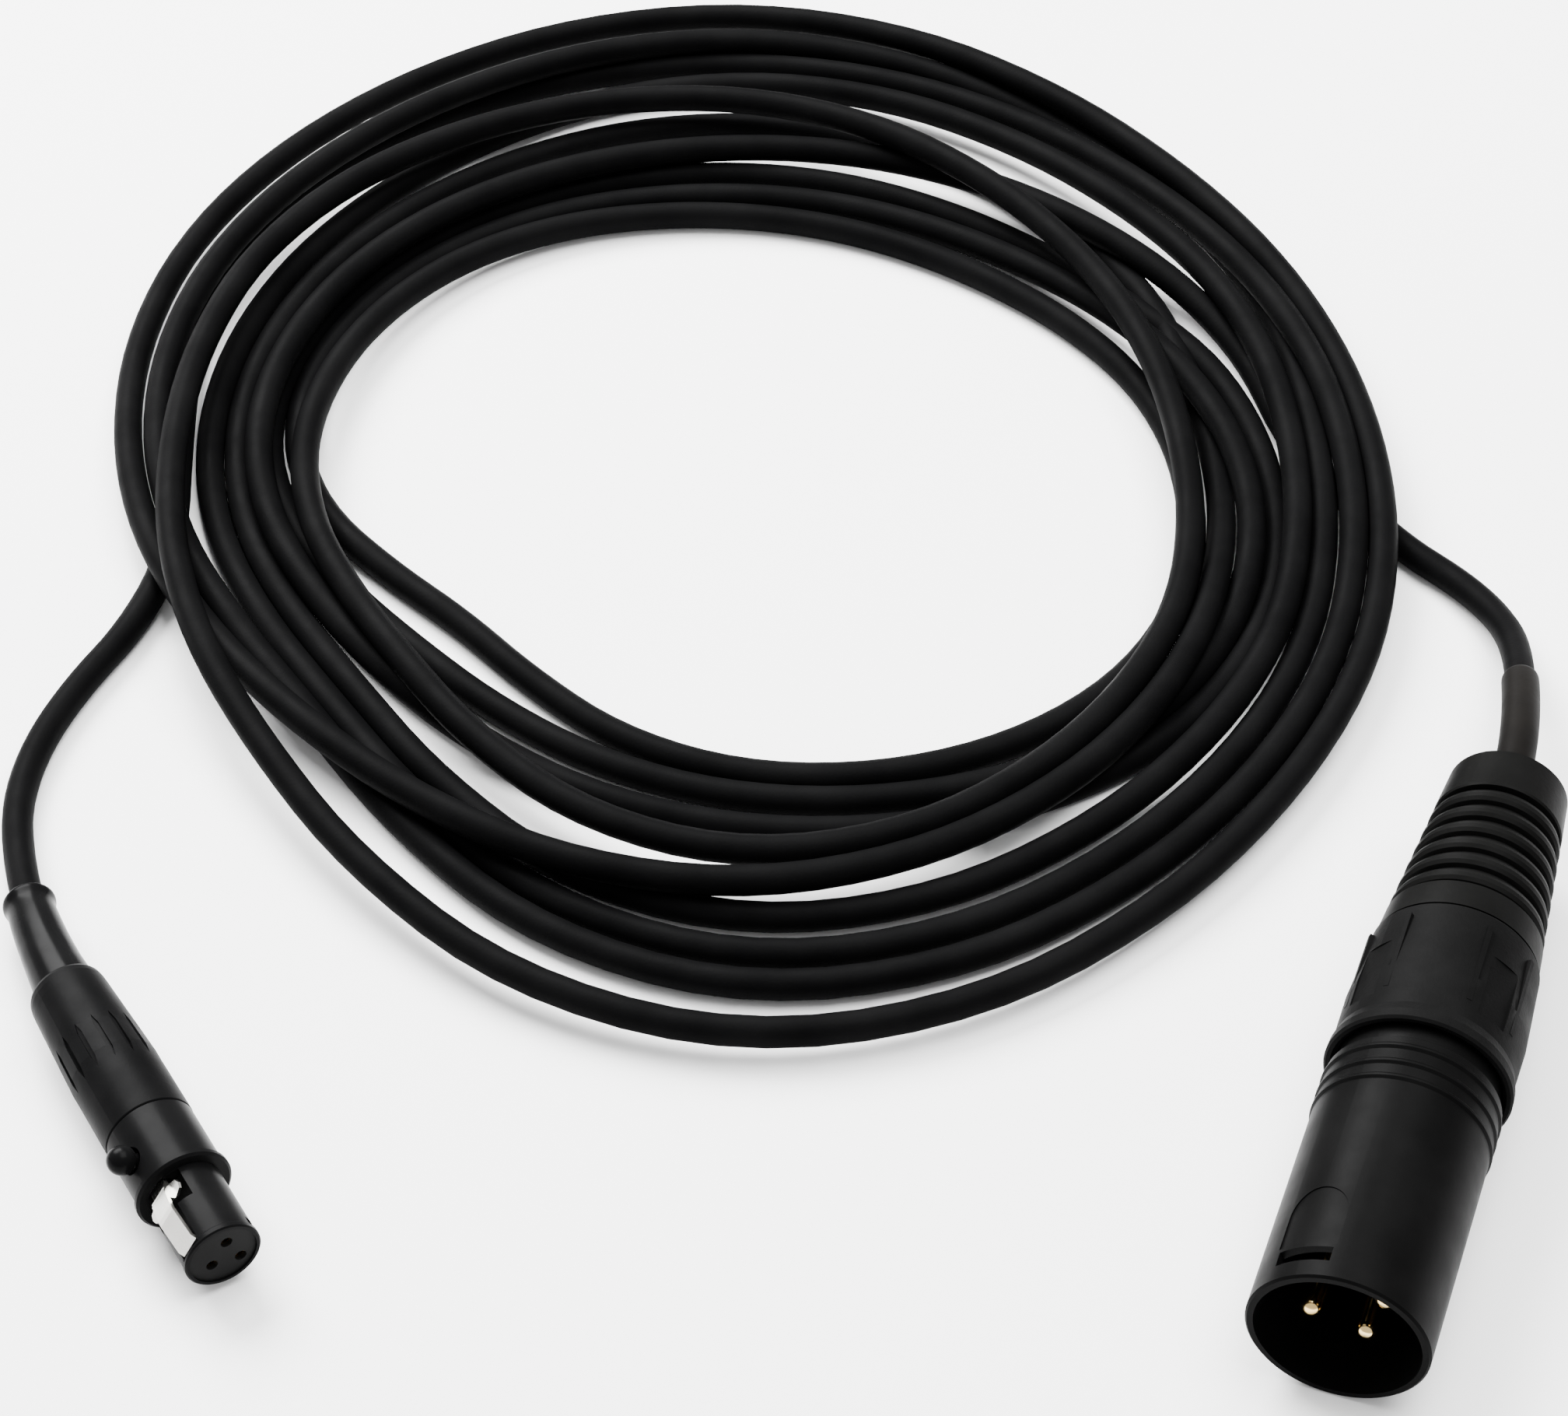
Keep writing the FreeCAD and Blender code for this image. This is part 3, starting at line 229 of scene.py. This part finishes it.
def new_material(name, colour, roughness, metallic=0.0, **settings):
    material = bpy.data.materials.new(name)
    material.use_nodes = True
    shader = material.node_tree.nodes["Principled BSDF"]
    shader.inputs["Base Color"].default_value = (*colour, 1)
    shader.inputs["Roughness"].default_value = roughness
    shader.inputs["Metallic"].default_value = metallic
    for socket, number in settings.items():
        shader.inputs[socket.replace("_", " ")].default_value = number
    return material, shader


def noise(material, scale, detail=4.0, stretch=None, roughness=0.55):
    """A noise texture in object coordinates; scale is in features per metre."""
    tree = material.node_tree
    place = tree.nodes.new("ShaderNodeTexCoord")
    texture = tree.nodes.new("ShaderNodeTexNoise")
    texture.inputs["Scale"].default_value = scale
    texture.inputs["Detail"].default_value = detail
    texture.inputs["Roughness"].default_value = roughness
    source = place.outputs["Object"]
    if stretch:
        mapping = tree.nodes.new("ShaderNodeMapping")
        mapping.inputs["Rotation"].default_value = stretch[0]
        mapping.inputs["Scale"].default_value = stretch[1]
        tree.links.new(source, mapping.inputs["Vector"])
        source = mapping.outputs["Vector"]
    tree.links.new(source, texture.inputs["Vector"])
    return texture.outputs["Fac"]


def ranged(material, source, low, high, out_low, out_high):
    tree = material.node_tree
    step = tree.nodes.new("ShaderNodeMapRange")
    step.inputs["From Min"].default_value = low
    step.inputs["From Max"].default_value = high
    step.inputs["To Min"].default_value = out_low
    step.inputs["To Max"].default_value = out_high
    tree.links.new(source, step.inputs["Value"])
    return step.outputs["Result"]


def blended(material, factor, one, two):
    """A colour that goes from one to two with factor; each may be a colour or a socket."""
    tree = material.node_tree
    mix = tree.nodes.new("ShaderNodeMix")
    mix.data_type = "RGBA"
    tree.links.new(factor, mix.inputs["Factor"])
    for socket, colour in (("A", one), ("B", two)):
        target = [entry for entry in mix.inputs if entry.name == socket and entry.type == "RGBA"][0]
        if isinstance(colour, tuple):
            target.default_value = (*colour, 1)
        else:
            tree.links.new(colour, target)
    return [entry for entry in mix.outputs if entry.type == "RGBA"][0]


def bumped(material, height, strength, distance, normal=None):
    tree = material.node_tree
    bump = tree.nodes.new("ShaderNodeBump")
    bump.inputs["Strength"].default_value = strength
    bump.inputs["Distance"].default_value = distance
    tree.links.new(height, bump.inputs["Height"])
    if normal is not None:
        tree.links.new(normal, bump.inputs["Normal"])
    return bump.outputs["Normal"]


def finish_material(name, colour, other, roughness, spread, grain, grain_depth,
                    metallic=0.0, blotch=120.0, **settings):
    """A material with blotches of a second colour, uneven roughness and a fine grain."""
    material, shader = new_material(name, colour, roughness, metallic, **settings)
    patches = ranged(material, noise(material, blotch, 5.0), 0.35, 0.7, 0, 1)
    socket_link(material, blended(material, patches, colour, other), shader.inputs["Base Color"])
    uneven = noise(material, blotch * 2.3, 6.0)
    sheen = ranged(material, uneven, 0.3, 0.7, roughness - spread, roughness + spread)
    socket_link(material, sheen, shader.inputs["Roughness"])
    grained = bumped(material, noise(material, grain, 3.0), 0.6, grain_depth)
    socket_link(material, grained, shader.inputs["Normal"])
    return material


cable_black = finish_material(
    "cable_black", (0.0015, 0.0015, 0.0016), (0.0027, 0.0027, 0.0028), roughness=0.55, spread=0.06,
    grain=2600.0, grain_depth=0.00004, blotch=90.0, Specular_IOR_Level=0.01)
shell_black = finish_material(
    "shell_black", (0.0015, 0.0015, 0.0015), (0.0025, 0.0025, 0.0025), roughness=0.4, spread=0.05,
    grain=4000.0, grain_depth=0.00001, Specular_IOR_Level=0.014)
bushing_black = finish_material(
    "bushing_black", (0.0025, 0.0025, 0.0025), (0.004, 0.004, 0.004), roughness=0.5, spread=0.06,
    grain=2600.0, grain_depth=0.00005, Specular_IOR_Level=0.011)
boot_black = finish_material(
    "boot_black", (0.0025, 0.0025, 0.0024), (0.0037, 0.0037, 0.0036), roughness=0.42, spread=0.05,
    grain=1800.0, grain_depth=0.00003, Specular_IOR_Level=0.012)
insert_black = finish_material(
    "insert_black", (0.004, 0.004, 0.004), (0.006, 0.006, 0.006), roughness=0.5, spread=0.05,
    grain=2200.0, grain_depth=0.00002, Specular_IOR_Level=0.03)
gold = finish_material(
    "gold", (0.8, 0.56, 0.22), (0.86, 0.64, 0.3), roughness=0.14, spread=0.05,
    grain=3000.0, grain_depth=0.000006, metallic=1.0)
nickel = finish_material(
    "nickel", (0.52, 0.51, 0.48), (0.62, 0.61, 0.58), roughness=0.28, spread=0.06,
    grain=3000.0, grain_depth=0.000006, metallic=1.0)
mini_black = finish_material(
    "mini_black", (0.002, 0.002, 0.0021), (0.0035, 0.0035, 0.0036), roughness=0.33, spread=0.05,
    grain=3500.0, grain_depth=0.00001, Specular_IOR_Level=0.02)
backshell_black = finish_material(
    "backshell_black", (0.002, 0.002, 0.0021), (0.0032, 0.0032, 0.0033), roughness=0.42, spread=0.05,
    grain=3000.0, grain_depth=0.00002, Specular_IOR_Level=0.014)
gloss_black = finish_material(
    "gloss_black", (0.002, 0.002, 0.0021), (0.0035, 0.0035, 0.0036), roughness=0.25, spread=0.04,
    grain=1500.0, grain_depth=0.00001, Specular_IOR_Level=0.02)
sleeve_dark = finish_material(
    "sleeve_dark", (0.003, 0.0027, 0.0025), (0.005, 0.0045, 0.004), roughness=0.55, spread=0.05,
    grain=1500.0, grain_depth=0.00003, Specular_IOR_Level=0.02)
core_red = finish_material(
    "core_red", (0.5, 0.04, 0.03), (0.6, 0.06, 0.05), roughness=0.4, spread=0.05,
    grain=2500.0, grain_depth=0.00001)
core_white = finish_material(
    "core_white", (0.75, 0.75, 0.72), (0.8, 0.8, 0.78), roughness=0.4, spread=0.05,
    grain=2500.0, grain_depth=0.00001)

BY_NODE = {
    "pin_plug_shell": shell_black, "pin_plug_insert": insert_black, "pin_plug_ground_spring": nickel,
    "pin_plug_chuck": insert_black, "pin_plug_bushing": bushing_black, "pin_plug_boot": boot_black,
    "mini_nose": mini_black, "mini_barrel": mini_black, "mini_insert": insert_black, "mini_latch": nickel,
    "mini_pivot_pin": nickel, "mini_latch_spring": nickel, "mini_cable_clamp": nickel,
    "mini_liner": insert_black,
    "mini_backshell": backshell_black, "mini_button": gloss_black, "pin_plug_jacket_end": sleeve_dark,
    "mini_jacket_end": cable_black,
}
for number, core in (("1", cable_black), ("2", core_red), ("3", core_white)):
    BY_NODE["pin_plug_pin_" + number] = gold
    BY_NODE["mini_socket_" + number] = gold
    BY_NODE["pin_plug_wire_" + number] = core
    BY_NODE["mini_wire_" + number] = core
for name, material in BY_NODE.items():
    for slot in nodes[name].material_slots:
        slot.material = material


# ------------------------------------------------------------------ pieces that follow the cable
def link_mesh(name, points, faces, material):
    mesh = bpy.data.meshes.new(name)
    mesh.from_pydata([tuple(point) for point in points], [], faces)
    mesh.update()
    for polygon in mesh.polygons:
        polygon.use_smooth = True
    mesh.materials.append(material)
    piece = bpy.data.objects.new(name, mesh)
    bpy.context.scene.collection.objects.link(piece)
    return piece


def at_distance(distance):
    """A point of the cable's line and its heading, at a distance from the small plug's end in metres."""
    steps = np.linalg.norm(np.diff(line, axis=0), axis=1)
    marks = np.concatenate([[0], np.cumsum(steps)])
    if distance < 0:
        heading = Vector(line[1] - line[0]).normalized()
        return Vector(line[0]) + heading * distance, heading
    place = Vector([np.interp(distance, marks, line[:, axis]) for axis in range(3)])
    ahead = Vector([np.interp(distance + 0.0005, marks, line[:, axis]) for axis in range(3)])
    behind = Vector([np.interp(distance - 0.0005, marks, line[:, axis]) for axis in range(3)])
    return place, (ahead - behind).normalized()


def sheath(name, profile, material, sides=40):
    """A tube round the cable: profile is (distance along it, radius) in mm, out one way and back inside."""
    points, faces = [], []
    side = Vector((0, 0, 1))
    for distance, radius in profile:
        place, heading = at_distance(distance * MM)
        across = heading.cross(side).normalized()
        up = across.cross(heading)
        for count in range(sides):
            angle = 2 * math.pi * count / sides
            points.append(place + (across * math.cos(angle) + up * math.sin(angle)) * radius * MM)
    rings = len(profile)
    for ring in range(rings - 1):
        for count in range(sides):
            other = (count + 1) % sides
            here, ahead = ring * sides, (ring + 1) * sides
            faces.append((here + count, here + other, ahead + other, ahead + count))
    return link_mesh(name, points, faces, material)


INNER_RADIUS = 1.86                                     # of both sleeves, just clear of the cable

# (distance along the cable, radius) in mm
RELIEF_SHAPE = (
    (-3.0, 3.62), (9.9, 3.62), (12.7, 3.42), (15.6, 3.2),
    (19.6, 3.0), (23.6, 2.85), (25.6, 2.76), (26.4, 2.82),
)
RELIEF_LIP = (
    (26.5, 2.85), (26.9, 2.97), (27.2, 3.04), (27.45, 3.04), (27.6, 2.95),
    (27.62, 2.6), (27.3, 1.95), (20.0, INNER_RADIUS), (5.0, INNER_RADIUS),
)
RELIEF_START, RELIEF_END, RELIEF_STEP = -2.0, 26.3, 0.7
marks, radii = zip(*RELIEF_SHAPE)
relief_marks = np.arange(RELIEF_START, RELIEF_END, RELIEF_STEP)
relief_profile = [(mark, np.interp(mark, marks, radii)) for mark in relief_marks]
relief_profile += RELIEF_LIP
relief = sheath("flex_relief", relief_profile, gloss_black)

SLEEVE_RADIUS = 2.25
SLEEVE_END = 31.8                                       # from the cable's end at the large plug
SLEEVE_STEPS = 24
whole = cable_length / MM
sleeve_mouth = whole - SLEEVE_END
sleeve_profile = [(whole - 1.0, SLEEVE_RADIUS)]
for step in range(SLEEVE_STEPS + 1):
    sleeve_profile.append((whole - 3.0 - (SLEEVE_END - 3.5) * step / SLEEVE_STEPS, SLEEVE_RADIUS))
sleeve_profile += [(sleeve_mouth + 0.15, 2.22), (sleeve_mouth, 2.1)]
sleeve_profile += [(sleeve_mouth + 0.1, 1.9), (whole - 20.0, INNER_RADIUS)]
sleeve = sheath("sleeve", sleeve_profile, sleeve_dark)

cable_data.materials.append(cable_black)


# ------------------------------------------------------------------ bodies, and the CAD cable pieces hidden
for piece in (cable, relief, sleeve):
    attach(piece, "cable_and_shells")
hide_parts("cable_coil", "cable_mini_tail", "cable_pin_plug_tail")
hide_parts("mini_flex_relief")
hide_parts("pin_plug_sleeve")


# ------------------------------------------------------------------ floor and light
FLOOR_HALF = 1.5
floor_material, floor_shader = new_material("floor_white", (0.95, 0.95, 0.95), 0.7)
floor_grain = bumped(floor_material, noise(floor_material, 300.0), 0.1, 0.0001)
socket_link(floor_material, floor_grain, floor_shader.inputs["Normal"])
CORNERS = ((-1, -1), (1, -1), (1, 1), (-1, 1))
floor_corners = [(across * FLOOR_HALF, along * FLOOR_HALF, 0) for across, along in CORNERS]
floor = link_mesh("floor", floor_corners, [(0, 1, 2, 3)], floor_material)

world = bpy.data.worlds.new("world")
bpy.context.scene.world = world
world.use_nodes = True
world.node_tree.nodes["Background"].inputs["Color"].default_value = (1, 1, 1, 1)
world.node_tree.nodes["Background"].inputs["Strength"].default_value = 1.0


def lamp(name, place, aim, size, power):
    data = bpy.data.lights.new(name, "AREA")
    data.shape = "RECTANGLE"
    data.size, data.size_y = size
    data.energy = power
    light = bpy.data.objects.new(name, data)
    light.location = place
    light.rotation_euler = (Vector(aim) - Vector(place)).to_track_quat("-Z", "Y").to_euler()
    bpy.context.scene.collection.objects.link(light)
    return light


lamp("key", (-0.45, 0.6, 0.75), (0, 0, 0), (0.8, 0.6), 60.0)
lamp("top", (0.25, 0.1, 1.0), (0, 0, 0), (0.9, 0.7), 30.0)
